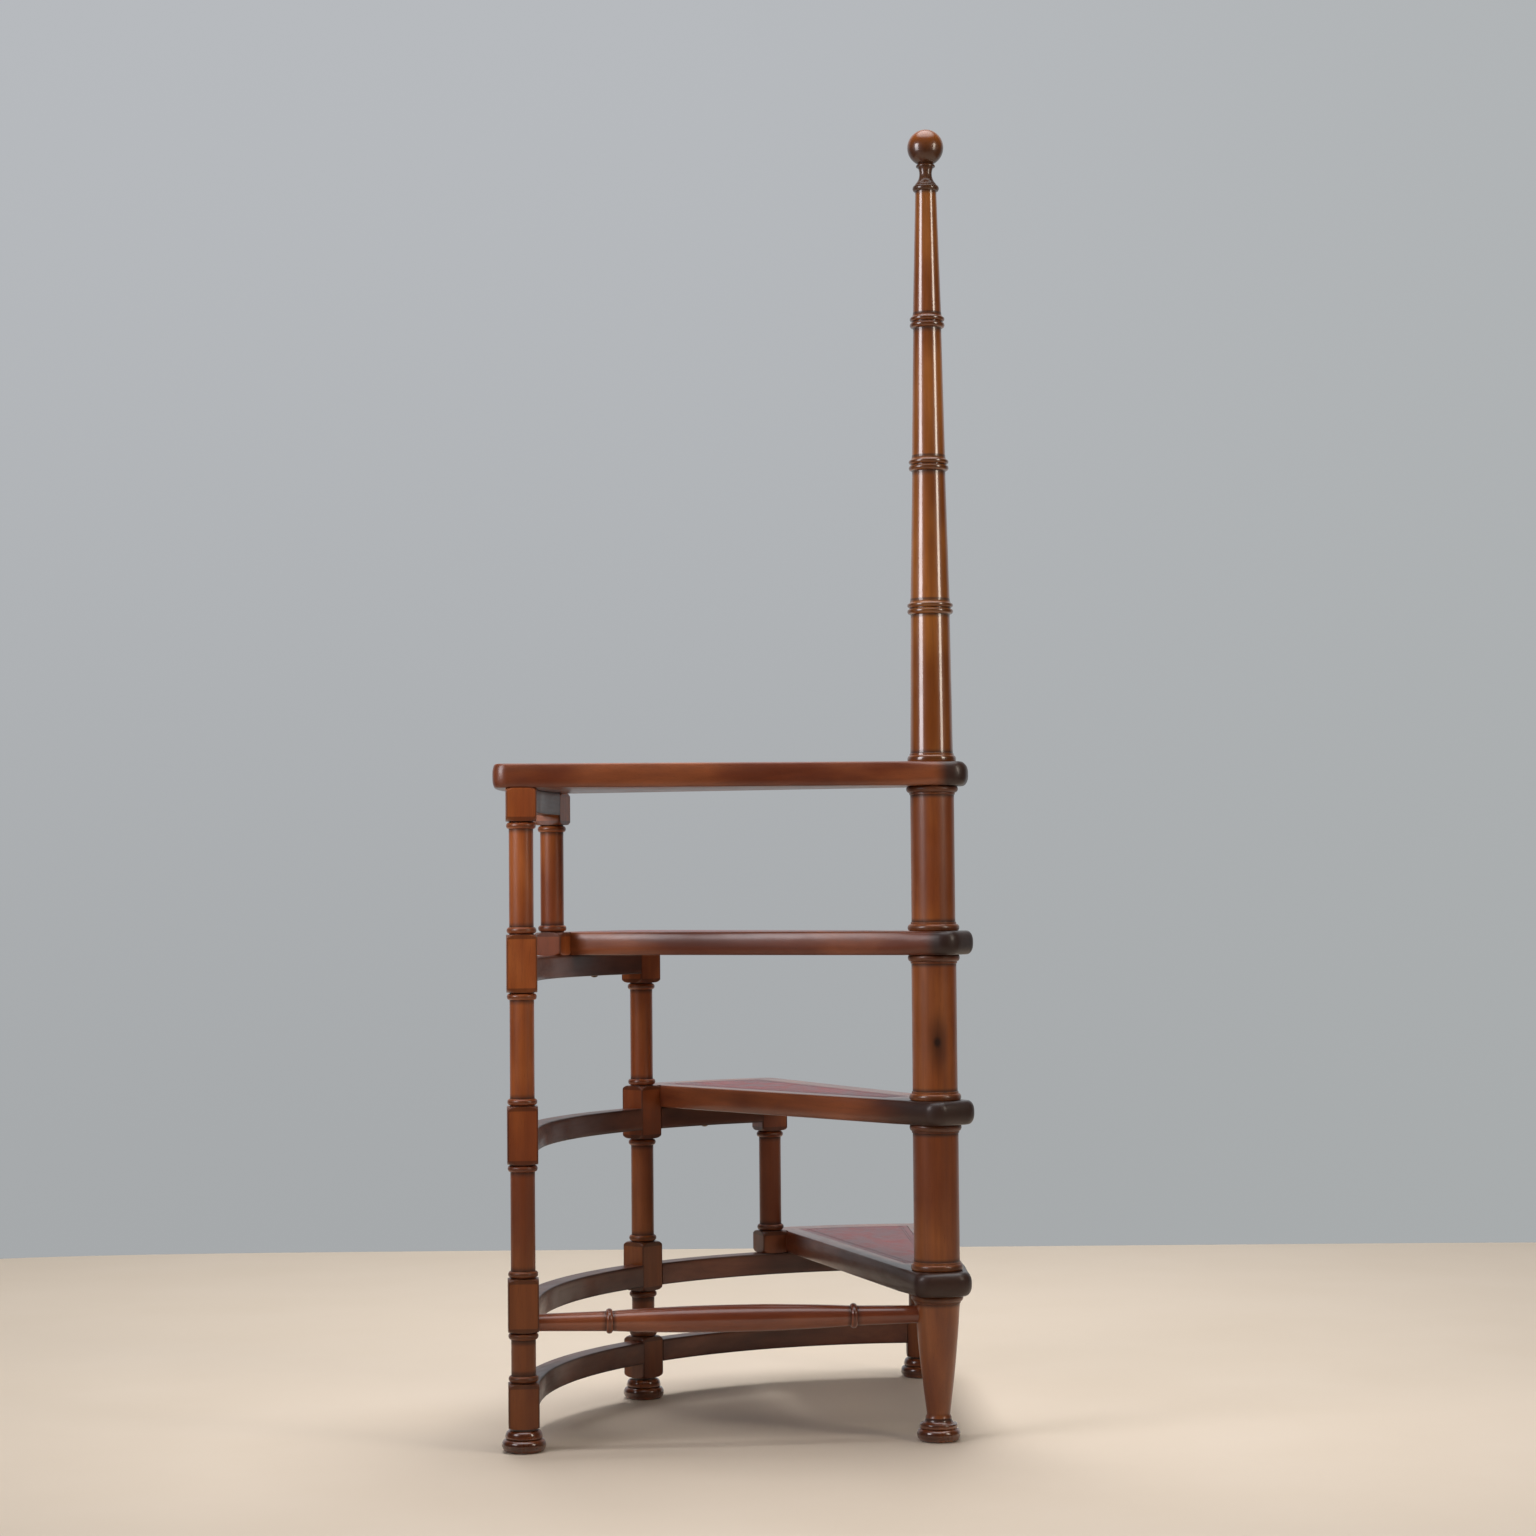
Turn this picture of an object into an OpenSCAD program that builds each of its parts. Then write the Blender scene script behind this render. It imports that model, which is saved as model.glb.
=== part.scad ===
// Spiral library steps: four wedge treads round a turned pole, which carries on
// upward as a hand pole. Five turned posts and curved rails hold the treads'
// outer ends. The origin is on the floor at the pole's axis, +Z is up, and the
// back post stands on -X. Steps climb anticlockwise, seen from above.

/* [Steps] */
// Height of one step
rise = 240; // [215:1:290]
// Angle that one tread turns through, post to post
step_angle = 24; // [20:0.5:29]
// Distance from the pole's axis to each post's axis
post_r = 585; // [480:5:720]

/* [Treads] */
// Thickness of a tread
tread_t = 34; // [28:1:42]
// Overhang of a tread beyond the posts' axes at its outer end
tread_over = 40; // [32:1:55]
// Overhang of a tread's long edge beyond the post's centre line
edge_over = 23; // [22:0.5:30]
// Distance from the pole's axis to a tread's long edge
nose_side = 47; // [44:1:60]
// Distance from the pole's axis to the end of the nose
nose_end = 51; // [48:1:70]
// Corner radius of the nose in plan
nose_corner_r = 25; // [15:1:30]
// Corner radius of the outer end in plan
end_corner_r = 22; // [10:1:30]
// Wood left between the leather and the front edge
border_front = 42; // [36:1:60]
// Wood left between the leather and the back edge
border_back = 30; // [26:1:45]
// Wood left between the leather and the outer end
border_end = 40; // [30:1:60]
// Distance from the pole's axis to the inner end of the leather
leather_inner_r = 88; // [70:1:150]
// Thickness of the leather
leather_t = 1.5; // [1:0.1:2.5]

/* [Posts] */
// Width of a post's square blocks
block_w = 43; // [38:1:52]
// Radius turned on the shoulders of a block
shoulder_r = 9; // [5:0.5:10]
// Diameter of the turned shafts
shaft_d = 34.5; // [28:0.5:36]
// Diameter of the beads beside each block
bead_d = 42; // [38:0.5:48]
// Height of a bead
bead_h = 9; // [6:0.5:11]
// Groove between a bead and its block
groove_h = 1.5; // [1:0.5:3]
// Height of the lowest block
low_block_h = 62; // [55:1:80]

/* [Rails] */
// Height of a curved rail
rail_h = 33; // [28:1:38]
// Width of a curved rail
rail_w = 30; // [24:1:34]
// How far a post's block goes below its rail
block_drop = 14; // [8:1:20]
// The same below the lowest tread's rails
block_drop_1 = 7; // [5:1:16]
// Step down from the lowest block's top to the low rail
low_rail_drop = 6; // [3:1:12]

/* [Pole] */
// Diameter of the pole sections between treads, lowest first
section_d = [65, 64, 62.5]; // [54:0.5:68]
// Diameter of the collar beads that clasp the treads
collar_d = 73; // [70:0.5:80]
// Height of a collar bead
collar_h = 12; // [8:0.5:14]
// Diameter of the leg at its ankle
ankle_d = 33; // [30:1:42]
// Diameter of the leg under its collar
leg_d = 64; // [56:1:68]
// Diameter of the spigots that pass through the treads
spigot_d = 28; // [20:1:32]
// Depth of the sockets that take the spigots
socket_l = 40; // [30:1:60]

/* [Hand pole] */
// Height of the ball's top above the top tread
hand_h = 911; // [800:1:1050]
// Diameters of the hand pole at its foot, its three rings and its top
hand_d = [61, 56, 47.6, 40.5, 30.5]; // [24:0.5:64]
// Height of the lowest ring above the top tread
first_ring = 220; // [150:1:260]
// Distance from ring to ring
ring_pitch = 206; // [150:1:220]
// Height of a double ring
ring_h = 21; // [14:1:26]
// How far a ring stands out from the hand pole
ring_out = 3.6; // [2:0.1:6]
// Diameter of the collar bead at the hand pole's foot
hand_collar_d = 69; // [66:0.5:76]
// Diameter of the bead at the hand pole's top
top_bead_d = 38; // [34:0.5:44]
// Height of that bead
top_bead_h = 9; // [6:0.5:12]
// Diameter of the ball
ball_d = 52; // [44:1:60]

/* [Feet and stretcher] */
// Height of a foot
foot_h = 33; // [28:1:40]
// Diameter of a foot
foot_d = 62; // [54:1:70]
// Height of the stretcher's axis above the lower end of its block
stretcher_up = 12; // [12:0.5:30]
// Diameter of the stretcher at its middle
stretcher_d = 38; // [30:1:44]
// Diameter of the stretcher's ends
stretcher_end_d = 24; // [18:1:26]
// Diameter of the stretcher's two beads
stretcher_bead_d = 35; // [31:1:42]
// Height of those beads
stretcher_bead_h = 9; // [6:0.5:12]
// Distance from each end's axis to a stretcher bead
stretcher_bead_at = 120; // [90:5:180]

/* [Fixings] */
// Diameter of the dowels
dowel_d = 8; // [6:1:9]
// Wood left between dowels that point at each other in a block
dowel_wall = 3.5; // [2:0.5:6]
// Depth of a dowel in a rail or a tread
dowel_in_rail = 18; // [12:1:22]
// Distance between the two dowels of one rail end
dowel_gap = 14; // [12:1:16]
// Diameter of the pegs on feet, stretcher and ball
peg_d = 13; // [10:0.5:13]
// Depth of the pegs
peg_l = 20; // [15:1:20]
// Diameter of a screw's shank
screw_d = 5; // [4:0.5:6]
// Depth of a screw in its tread
screw_in_tread = 20; // [15:1:24]
// Diameter of a screw's round head
screw_head_d = 11; // [9:0.5:13]
// Height of a screw's round head
screw_head_h = 3; // [2:0.5:4]
// Gap left round and beyond everything that fits in a hole
fit = 0.1; // [0.05:0.05:0.2]

/* [Hidden] */
$fn = 96;

// Posts are counted from the back post, which is 0, to the first step's post
BACK = 0;
STEP_4 = 1;
STEP_3 = 2;
STEP_2 = 3;
STEP_1 = 4;
treads = 4;
reach = 2 * post_r;

// Heights of a tread's top and underside, and of the posts' blocks
function tread_top(n) = n * rise;
function tread_under(n) = n * rise - tread_t;
function block_from(n) = tread_under(n) - rail_h - (n == 1 ? block_drop_1 : block_drop);
low_block_top = foot_h + low_block_h;
low_rail_top = low_block_top - low_rail_drop;
stretcher_z = block_from(1) + stretcher_up;

// Plan of a tread: its long edges lean in towards the outer end
edge_lean = atan((nose_side - edge_over) / post_r);
half_angle = step_angle / 2 - edge_lean;
outer_r = post_r + tread_over;
inner_face = post_r - block_w / 2;
rail_mid_r = inner_face + rail_w / 2;

// Dowels stop short of the upright one in the middle of a block, and the
// stretcher's peg stops short of the rails' dowels
dowel_in_block = (block_w - dowel_d) / 2 - dowel_wall;
peg_wall = 1;
stretcher_peg_l = rail_mid_r - inner_face - dowel_d / 2 - peg_wall;

// Rails as post at one end, post at the other, height of the top
RAIL_LOW_BACK = [BACK, STEP_3, low_rail_top];
RAIL_LOW_FRONT = [STEP_3, STEP_1, low_rail_top];
RAIL_1_BACK = [BACK, STEP_3, tread_under(1)];
RAIL_1_FRONT = [STEP_3, STEP_1, tread_under(1)];
RAIL_2_BACK = [BACK, STEP_3, tread_under(2)];
RAIL_2_FRONT = [STEP_3, STEP_2, tread_under(2)];
RAIL_3 = [BACK, STEP_3, tread_under(3)];
RAIL_4 = [BACK, STEP_4, tread_under(4)];
RAILS = [RAIL_LOW_BACK, RAIL_LOW_FRONT, RAIL_1_BACK, RAIL_1_FRONT,
         RAIL_2_BACK, RAIL_2_FRONT, RAIL_3, RAIL_4];

// The tread whose front each post carries; the back post shares the top one
function tread_on(post) = min(treads, treads + 1 - post);

// Turnings of the ball finial, measured up from the top of the hand pole
finial_neck_d = 19;
finial_neck_at = 13;
finial_bead_d = 26;
finial_bead_at = 26;
finial_bead_h = 5;
ball_clear = 3;
ball_at = finial_bead_at + ball_clear + ball_d / 2;
finial_h = ball_at + ball_d / 2;
hand_pole_h = hand_h - finial_h;

// The leg's taper starts this far above its foot, and has this many stations.
// Below it the leg spreads by ankle_step to meet the foot
leg_from = 5;
leg_steps = 12;
ankle_step = 2;

// Turns children to the ray through a post, or a part of the way to the next
module on_ray(post) {
    rotate([0, 0, 180 - post * step_angle]) children();
}

// Puts children at a post's axis, with +X pointing away from the pole
module at_post(post) {
    on_ray(post) translate([post_r, 0, 0]) children();
}

// Upright hole or pin from z, length l
module upright(z, l, d) {
    translate([0, 0, z]) cylinder(h = l, d = d);
}

// Ring with a half-round section, for beads and collars; z is its middle
module bead_section(z, d, h) {
    translate([d / 2 - h / 2, z]) circle(d = h, $fn = 48);
}

// ---------- treads ----------

// Point at distance d inside a long edge, s along it; side is -1 front, 1 back
function edge_point(d, s, side) = [
    (d - nose_side) * sin(half_angle) + s * cos(half_angle),
    side * (s * sin(half_angle) - (d - nose_side) * cos(half_angle))
];

function nose_point(side) = edge_point(
    nose_corner_r,
    ((nose_side - nose_corner_r) * sin(half_angle) - nose_end + nose_corner_r) / cos(half_angle),
    side);

function end_point(side) = edge_point(
    end_corner_r,
    sqrt(pow(outer_r - end_corner_r, 2) - pow(nose_side - end_corner_r, 2)),
    side);

function turn_of(p) = atan2(p[1], p[0]);

// Turn from the middle of tread n to its back corner. Only the top tread covers
// its back post; the others end beside the post's block
function back_turn(n) = n == treads ? turn_of(end_point(1)) :
    step_angle / 2 - asin((block_w / 2 + end_corner_r) / (outer_r - end_corner_r));

// Turn of tread n's back edge, and its distance from the pole's axis
function back_angle(n) =
    let (run = (outer_r - end_corner_r) * [cos(back_turn(n)), sin(back_turn(n))] - nose_point(1))
    turn_of(run) + asin((end_corner_r - nose_corner_r) / norm(run));
function back_side(n) =
    nose_corner_r + nose_point(1) * [-sin(back_angle(n)), cos(back_angle(n))];

// Solid of tread n's outline with eased edges, on the ray of its middle
module tread_board(n) {
    ease = [[0, 4.5], [1.5, 2.2], [4, 0.8], [9, 0]];
    front_turn = -turn_of(end_point(1));
    hull() {
        for (e = ease) {
            for (side = [-1, 1])
                translate([nose_point(side)[0], nose_point(side)[1], e[0]])
                    cylinder(h = tread_t - 2 * e[0], r = nose_corner_r - e[1], $fn = 40);
            for (i = [0:8])
                rotate([0, 0, front_turn + (back_turn(n) - front_turn) * i / 8])
                    translate([outer_r - end_corner_r, 0, e[0]])
                        cylinder(h = tread_t - 2 * e[0], r = end_corner_r - e[1], $fn = 40);
        }
    }
}

// Room for the block of the post that rises beside a tread's back corner
module back_notch() {
    translate([inner_face, -block_w / 2, -1]) cube([reach, reach, tread_t + 2]);
}

// Plan of tread n's leather, grown by g for the recess it lies in
module leather_plan(n, g) {
    difference() {
        circle(r = outer_r - border_end + g);
        circle(r = leather_inner_r - g);
        rotate(back_angle(n))
            translate([-reach, back_side(n) - border_back + g]) square([2 * reach, reach]);
        rotate(-half_angle)
            translate([-reach, -reach - nose_side + border_front - g]) square([2 * reach, reach]);
    }
}

module tread(n) {
    mid = treads + 0.5 - n;
    color("sienna")
    difference() {
        on_ray(mid) translate([0, 0, tread_under(n)]) tread_board(n);
        if (n < treads)
            on_ray(mid - 0.5) translate([0, 0, tread_under(n)]) back_notch();
        on_ray(mid) translate([0, 0, tread_top(n) - leather_t])
            linear_extrude(leather_t + 1) leather_plan(n, fit);
        upright(tread_under(n) - 1, tread_t + 2, spigot_d + 2 * fit);
        post_dowel_set(2 * fit);
        screw_set(2 * fit);
    }
}

module leather(n) {
    color("darkred")
        on_ray(treads + 0.5 - n) translate([0, 0, tread_top(n) - leather_t])
            linear_extrude(leather_t) leather_plan(n, 0);
}

// ---------- posts and feet ----------

// Square block with turned shoulders
module block(from, to) {
    corner_r = block_w / sqrt(2) + 0.5;
    h = to - from;
    intersection() {
        translate([-block_w / 2, -block_w / 2, from]) cube([block_w, block_w, h]);
        translate([0, 0, from]) rotate_extrude() {
            square([corner_r - shoulder_r, h]);
            translate([0, shoulder_r]) square([corner_r, h - 2 * shoulder_r]);
            for (z = [shoulder_r, h - shoulder_r])
                translate([corner_r - shoulder_r, z]) circle(r = shoulder_r, $fn = 48);
        }
    }
}

// One turned post: blocks is a list of [from, to], lowest first
module turned_post(blocks) {
    last = len(blocks) - 1;
    rotate_extrude() {
        translate([0, blocks[0][0] + 1])
            square([shaft_d / 2, blocks[last][1] - blocks[0][0] - 2]);
        for (i = [1:last]) {
            bead_section(blocks[i - 1][1] + groove_h + bead_h / 2, bead_d, bead_h);
            bead_section(blocks[i][0] - groove_h - bead_h / 2, bead_d, bead_h);
        }
    }
    for (b = blocks) block(b[0], b[1]);
}

// A post with the holes that its rails, foot, dowels and stretcher need
module post(which, blocks) {
    color("peru")
    difference() {
        at_post(which) turned_post(blocks);
        at_post(which) upright(foot_h - 1, peg_l + 1 + fit, peg_d + 2 * fit);
        rail_dowel_set(2 * fit);
        post_dowel_set(2 * fit);
        stretcher_peg(2 * fit);
    }
}

module back_post() {
    post(BACK, [[foot_h, low_block_top],
                for (n = [1:3]) [block_from(n), tread_top(n)],
                [block_from(4), tread_under(4)]]);
}

module step_4_post() {
    post(STEP_4, [[tread_under(3), tread_top(3)], [block_from(4), tread_under(4)]]);
}

module step_3_post() {
    post(STEP_3, [[foot_h, low_block_top],
                  for (n = [1:2]) [block_from(n), tread_top(n)],
                  [block_from(3), tread_under(3)]]);
}

module step_2_post() {
    post(STEP_2, [[tread_under(1), tread_top(1)], [block_from(2), tread_under(2)]]);
}

module step_1_post() {
    post(STEP_1, [[foot_h, low_block_top], [block_from(1), tread_under(1)]]);
}

// Turned foot with its peg; neck_d is the diameter that meets the piece above
module foot(neck_d) {
    torus_h = foot_h / 2;
    ovolo_h = 12;
    ovolo_at = foot_h - ovolo_h + 2;
    ovolo_d = foot_d - 9;
    groove_d = foot_d - torus_h;
    color("maroon") rotate_extrude() {
        square([groove_d / 2, ovolo_at]);
        square([neck_d / 2, foot_h]);
        square([peg_d / 2, foot_h + peg_l]);
        bead_section(torus_h / 2, foot_d, torus_h);
        bead_section(ovolo_at, ovolo_d, ovolo_h);
    }
}

module pole_foot() {
    foot(ankle_d + 2 * ankle_step);
}

module back_post_foot() {
    at_post(BACK) foot(block_w - 1);
}

module step_3_post_foot() {
    at_post(STEP_3) foot(block_w - 1);
}

module step_1_post_foot() {
    at_post(STEP_1) foot(block_w - 1);
}

// ---------- pole ----------

// Share of the leg's growth from ankle to collar, at share t of its height
function leg_swell(t) = t + 0.09 * sin(180 * t);

module pole_leg() {
    top = tread_under(1);
    swell_from = foot_h + leg_from;
    swell_to = top - collar_h;
    points = [
        [0, foot_h],
        [ankle_d / 2 + ankle_step, foot_h],
        for (i = [0:leg_steps]) [
            ankle_d / 2 + (leg_d - ankle_d) / 2 * leg_swell(i / leg_steps),
            swell_from + (swell_to - swell_from) * i / leg_steps
        ],
        [leg_d / 2, top],
        [spigot_d / 2, top],
        [spigot_d / 2, top + tread_t + socket_l],
        [0, top + tread_t + socket_l]
    ];
    color("chocolate")
    difference() {
        rotate_extrude() {
            polygon(points);
            bead_section(top - collar_h / 2, collar_d, collar_h);
        }
        upright(foot_h - 1, peg_l + 1 + fit, peg_d + 2 * fit);
        stretcher_end(2 * fit);
    }
}

// Pole between tread n and the next: a socket below, a spigot above
module pole_section(n) {
    from = tread_top(n);
    to = tread_under(n + 1);
    color("chocolate")
    difference() {
        rotate_extrude() {
            translate([0, from]) square([section_d[n - 1] / 2, to - from]);
            translate([0, to]) square([spigot_d / 2, tread_t + socket_l]);
            bead_section(from + collar_h / 2, collar_d, collar_h);
            bead_section(to - collar_h / 2, collar_d, collar_h);
        }
        upright(from - 1, socket_l + 1 + fit, spigot_d + 2 * fit);
    }
}

module hand_pole() {
    base = tread_top(treads);
    stations = [0, for (i = [0:2]) first_ring + i * ring_pitch, hand_pole_h];
    outline = [for (i = [0:4]) [hand_d[i] / 2, base + stations[i]]];
    color("chocolate")
    difference() {
        rotate_extrude() {
            polygon(concat([[0, base]], outline, [[0, base + hand_pole_h]]));
            bead_section(base + collar_h / 2, hand_collar_d, collar_h);
            for (i = [1:3]) double_ring(base + stations[i], hand_d[i] / 2);
            bead_section(base + hand_pole_h - top_bead_h / 2, top_bead_d, top_bead_h);
        }
        upright(base - 1, socket_l + 1 + fit, spigot_d + 2 * fit);
        upright(base + hand_pole_h - peg_l - fit, peg_l + 1, peg_d + 2 * fit);
    }
}

// Section of two sharp rings side by side; z is their middle
module double_ring(z, r) {
    q = ring_h / 4;
    polygon([
        [r - 4, z - 2 * q], [r, z - 2 * q], [r + ring_out, z - q - 0.5], [r + ring_out, z - q + 0.5],
        [r + 1, z],
        [r + ring_out, z + q - 0.5], [r + ring_out, z + q + 0.5], [r, z + 2 * q], [r - 4, z + 2 * q]
    ]);
}

module ball_finial() {
    base = tread_top(treads) + hand_pole_h;
    neck = [
        [0, -peg_l], [peg_d / 2, -peg_l], [peg_d / 2, 0], [hand_d[4] / 2 - 0.5, 0],
        for (t = [0:0.25:1]) [
            finial_neck_d / 2 + (hand_d[4] - finial_neck_d) / 2 * pow(1 - t, 2),
            2 + (finial_neck_at - 2) * t
        ],
        [finial_neck_d / 2 + 1, finial_bead_at],
        [finial_neck_d / 2, ball_at],
        [0, ball_at]
    ];
    color("saddlebrown") translate([0, 0, base]) {
        rotate_extrude() {
            polygon(neck);
            bead_section(finial_bead_at, finial_bead_d, finial_bead_h);
        }
        translate([0, 0, ball_at]) sphere(d = ball_d);
    }
}

// ---------- rails ----------

// Curved rail between the blocks of two posts, with its holes
module rail(r) {
    color("brown")
    difference() {
        translate([0, 0, r[2] - rail_h]) linear_extrude(rail_h) difference() {
            circle(r = inner_face + rail_w, $fn = 180);
            circle(r = inner_face, $fn = 180);
            rotate(180 - r[0] * step_angle)
                translate([-reach, -block_w / 2]) square([2 * reach, reach]);
            rotate(180 - r[1] * step_angle)
                translate([-reach, block_w / 2 - reach]) square([2 * reach, reach]);
        }
        rail_dowel_set(2 * fit);
        post_dowel_set(2 * fit);
        screw_set(2 * fit);
    }
}

// ---------- stretcher ----------

// The stretcher runs from its socket in the leg to the back post's block. Its
// ends swell by waist_more towards the beads
stretcher_to = 14;
stretcher_from = inner_face;
waist_more = 2;

// Radius of the stretcher at distance x from the pole's axis
function stretcher_r(x) =
    let (inner = stretcher_bead_at, outer = post_r - stretcher_bead_at,
         waist = stretcher_end_d / 2 + waist_more)
    x < inner ? waist - waist_more * (inner - x) / (inner - stretcher_to)
    : x > outer ? waist - waist_more * (x - outer) / (stretcher_from - outer)
    : waist + (stretcher_d / 2 - waist) * pow(sin(180 * (x - inner) / (outer - inner)), 0.8);

// Lays a shape drawn along +Z from the pole's axis along the stretcher's axis
module along_stretcher() {
    on_ray(BACK) translate([0, 0, stretcher_z]) rotate([0, 90, 0]) children();
}

// Peg in the back post's block, or the hole for it
module stretcher_peg(more) {
    along_stretcher() upright(stretcher_from - 1, stretcher_peg_l + 1 + more / 2, peg_d + more);
}

// End of the stretcher in the leg, or the hole for it
module stretcher_end(more) {
    along_stretcher()
        upright(stretcher_to - more / 2, leg_d / 2, stretcher_end_d + more);
}

module stretcher() {
    leg_seat = leg_d / 2 + 4;
    inner = stretcher_bead_at;
    outer = post_r - stretcher_bead_at;
    stops = [
        leg_seat, inner,
        for (i = [1:15]) inner + (outer - inner) * i / 16,
        outer, stretcher_from
    ];
    color("brown") {
        along_stretcher() rotate_extrude() {
            polygon([
                [0, stretcher_to],
                [stretcher_end_d / 2, stretcher_to],
                [stretcher_end_d / 2, leg_seat],
                for (x = stops) [stretcher_r(x), x],
                [0, stretcher_from]
            ]);
            bead_section(inner, stretcher_bead_d, stretcher_bead_h);
            bead_section(outer, stretcher_bead_d, stretcher_bead_h);
        }
        stretcher_peg(0);
    }
}

// ---------- dowels and screws ----------

// Two dowels at each end of each rail, or the holes for them
module rail_dowel_set(more) {
    for (r = RAILS, end = [0, 1], dz = [-0.5, 0.5])
        on_ray(r[end])
            translate([rail_mid_r, (2 * end - 1) * block_w / 2, r[2] - rail_h / 2 + dz * dowel_gap])
                rotate([end == 0 ? 90 : -90, 0, 0])
                    upright(-dowel_in_block - more / 2, dowel_in_block + dowel_in_rail + more,
                            dowel_d + more);
}

// Dowels from each post up into its tread, and from the two short posts down
// into the rails that they stand on, or the holes for them
module post_dowel_set(more) {
    l = dowel_in_block + dowel_in_rail + more;
    for (i = [BACK:STEP_1])
        at_post(i) upright(tread_under(tread_on(i)) - dowel_in_block - more / 2, l, dowel_d + more);
    on_ray(STEP_4) translate([rail_mid_r, 0, 0])
        upright(tread_under(3) - dowel_in_rail - more / 2, l, dowel_d + more);
    on_ray(STEP_2) translate([rail_mid_r, 0, 0])
        upright(tread_under(1) - dowel_in_rail - more / 2, l, dowel_d + more);
}

// One screw up through the rail under each tread, or the hole for it
module screw_set(more) {
    for (n = [1:treads])
        on_ray(treads + 0.5 - n) translate([rail_mid_r, 0, tread_under(n) - rail_h])
            upright(0, rail_h + screw_in_tread + more / 2, screw_d + more);
}

module tread_screws() {
    color("goldenrod") {
        screw_set(0);
        for (n = [1:treads])
            on_ray(treads + 0.5 - n) translate([rail_mid_r, 0, tread_under(n) - rail_h])
                rotate_extrude() polygon([
                    [0, 0], [screw_head_d / 2, 0], [screw_head_d / 2, -screw_head_h / 4],
                    [screw_head_d / 3, -screw_head_h * 0.8], [0, -screw_head_h]
                ]);
    }
}

tread(1);  // tread_1
tread(2);  // tread_2
tread(3);  // tread_3
tread(4);  // tread_4
leather(1);  // leather_1
leather(2);  // leather_2
leather(3);  // leather_3
leather(4);  // leather_4
pole_foot();
pole_leg();
pole_section(1);  // pole_section_1
pole_section(2);  // pole_section_2
pole_section(3);  // pole_section_3
hand_pole();
ball_finial();
back_post();
step_4_post();
step_3_post();
step_2_post();
step_1_post();
back_post_foot();
step_3_post_foot();
step_1_post_foot();
rail(RAIL_LOW_BACK);  // low_rail_back
rail(RAIL_LOW_FRONT);  // low_rail_front
rail(RAIL_1_BACK);  // rail_1_back
rail(RAIL_1_FRONT);  // rail_1_front
rail(RAIL_2_BACK);  // rail_2_back
rail(RAIL_2_FRONT);  // rail_2_front
rail(RAIL_3);  // rail_3
rail(RAIL_4);  // rail_4
stretcher();
color("burlywood") rail_dowel_set(0);  // rail_dowels
color("burlywood") post_dowel_set(0);  // post_dowels
tread_screws();
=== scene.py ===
import math

import bpy
from mathutils import Matrix, Vector
from mathutils.geometry import delaunay_2d_cdt


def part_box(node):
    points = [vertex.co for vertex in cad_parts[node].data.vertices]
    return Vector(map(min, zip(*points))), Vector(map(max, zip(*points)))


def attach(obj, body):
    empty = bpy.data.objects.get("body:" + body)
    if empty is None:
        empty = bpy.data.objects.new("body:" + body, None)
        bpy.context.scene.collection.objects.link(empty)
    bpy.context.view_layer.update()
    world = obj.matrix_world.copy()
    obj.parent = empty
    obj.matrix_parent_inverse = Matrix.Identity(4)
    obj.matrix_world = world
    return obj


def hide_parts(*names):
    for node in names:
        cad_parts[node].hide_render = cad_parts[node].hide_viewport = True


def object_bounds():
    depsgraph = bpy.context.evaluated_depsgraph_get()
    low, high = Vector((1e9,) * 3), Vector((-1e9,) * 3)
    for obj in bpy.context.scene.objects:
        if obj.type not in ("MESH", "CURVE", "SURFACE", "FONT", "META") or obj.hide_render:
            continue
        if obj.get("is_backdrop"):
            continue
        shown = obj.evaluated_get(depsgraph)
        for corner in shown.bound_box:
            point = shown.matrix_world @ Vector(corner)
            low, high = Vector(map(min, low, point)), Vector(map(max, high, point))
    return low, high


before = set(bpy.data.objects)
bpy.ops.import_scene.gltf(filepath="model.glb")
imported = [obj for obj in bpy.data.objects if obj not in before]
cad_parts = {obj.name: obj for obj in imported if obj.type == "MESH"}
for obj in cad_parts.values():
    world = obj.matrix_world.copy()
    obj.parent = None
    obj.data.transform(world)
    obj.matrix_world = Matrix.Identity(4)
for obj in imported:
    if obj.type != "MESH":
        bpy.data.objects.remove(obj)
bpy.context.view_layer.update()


# ---------- Feet ----------
# Four bun feet turned from mahogany, dyed darker than the rest and polished
# until they shine. A peg on top of each is glued up into the post or the leg.

foot_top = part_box("back_post")[0].z
bun_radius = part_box("pole_foot")[1].x - 0.00003
bun_height = 0.018
sole_radius = 0.023


def bead(start, end, out, steps=12):
    """Half-round moulding between two (height, radius) points, without the first of them."""
    points = []
    for step in range(1, steps + 1):
        turn = math.pi * step / steps
        along = (1 - math.cos(turn)) / 2
        points.append((
            start[0] + (end[0] - start[0]) * along,
            start[1] + (end[1] - start[1]) * along + out * math.sin(turn),
        ))
    return points


def quarter(start, end, upright_first, steps=8):
    """Quarter-round from one (height, radius) point to another, without the first of them.
    It sets off upright or flat, which makes it full or hollow."""
    points = []
    for step in range(1, steps + 1):
        turn = math.pi / 2 * step / steps
        shares = math.sin(turn), 1 - math.cos(turn)
        up, out = shares if upright_first else shares[::-1]
        points.append((
            start[0] + (end[0] - start[0]) * up,
            start[1] + (end[1] - start[1]) * out,
        ))
    return points


def stations(profile, longest=0.006):
    """The profile, with points added along its long straight runs."""
    points = [profile[0]]
    for end in profile[1:]:
        start = points[-1]
        parts = max(1, math.ceil(math.dist(start[:2], end[:2]) / longest))
        for part in range(1, parts + 1):
            points.append(tuple(a + (b - a) * part / parts for a, b in zip(start, end)))
    return points


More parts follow.
